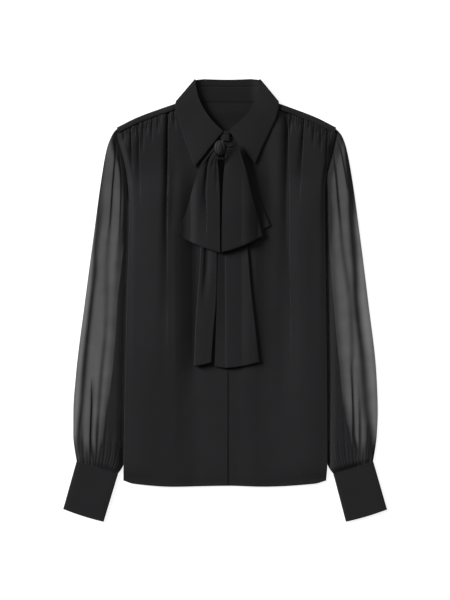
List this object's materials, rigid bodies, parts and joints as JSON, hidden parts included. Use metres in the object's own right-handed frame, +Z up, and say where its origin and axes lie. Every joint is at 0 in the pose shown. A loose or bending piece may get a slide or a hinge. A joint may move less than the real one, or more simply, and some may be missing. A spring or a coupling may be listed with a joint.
{
  "type": "blouse",
  "caption": "Blouse laid flat, with a pointed collar, a tied bow hanging from the neck, gathered shoulders, sheer full sleeves and deep plain cuffs.",
  "frame": {"origin": "on the table under the middle of the garment's outline", "axes": "+Y from the hem to the collar, +Z up from the table through the front, +X towards the wearer's left"},
  "size_m": [0.5502, 0.754, 0.0238],
  "materials": {
    "crepe": "matt crepe with a faint soft sheen",
    "sheer": "sheer chiffon that lets the layer below show through"
  },
  "bodies": {
    "root": {"back_panel": "crepe", "yoke": "crepe", "front_right": "crepe", "front_left": "crepe", "sleeve_right": "sheer", "sleeve_left": "sheer", "cuff_right": "crepe", "cuff_left": "crepe", "collar": "crepe", "collar_stand": "crepe", "stand_right": "crepe", "stand_left": "crepe", "stand_end": "crepe", "bow_tail_right": "crepe", "bow_tail_left": "crepe", "bow_loop_left_rear": "crepe", "bow_loop_right": "crepe", "bow_loop_left": "crepe", "bow_knot": "crepe"}
  },
  "joints": []
}
